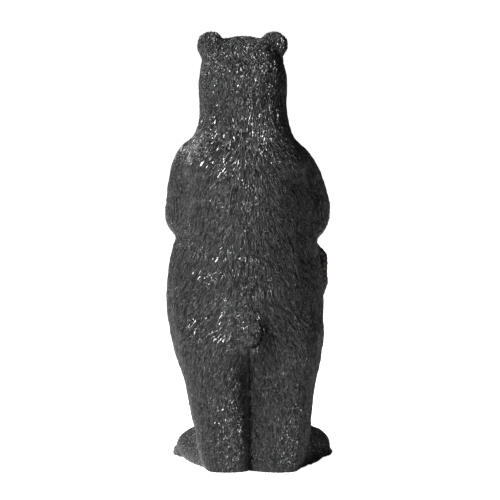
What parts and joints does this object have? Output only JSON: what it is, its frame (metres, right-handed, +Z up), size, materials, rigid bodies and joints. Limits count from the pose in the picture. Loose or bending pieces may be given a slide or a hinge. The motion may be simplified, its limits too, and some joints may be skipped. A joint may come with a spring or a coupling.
{
  "type": "bear garden statue",
  "caption": "Standing black bear garden statue with combed fur, a round tail and an oval wooden sign held in its front paws.",
  "frame": {"origin": "centre of the footprint's bounding box, on the floor under the soles", "axes": "+Z up, the bear faces -Y, its back is towards +Y and its left side towards +X"},
  "size_m": [0.2334, 0.2384, 0.6081],
  "materials": {
    "black_paint": "cast resin painted charcoal black, silver-grey dry brushed on the ridges of the fur",
    "sign_wood": "reddish brown stained slice of log with dark bark left on its edge"
  },
  "bodies": {
    "root": {"bear": "black_paint", "wooden_sign": "sign_wood"}
  },
  "joints": []
}
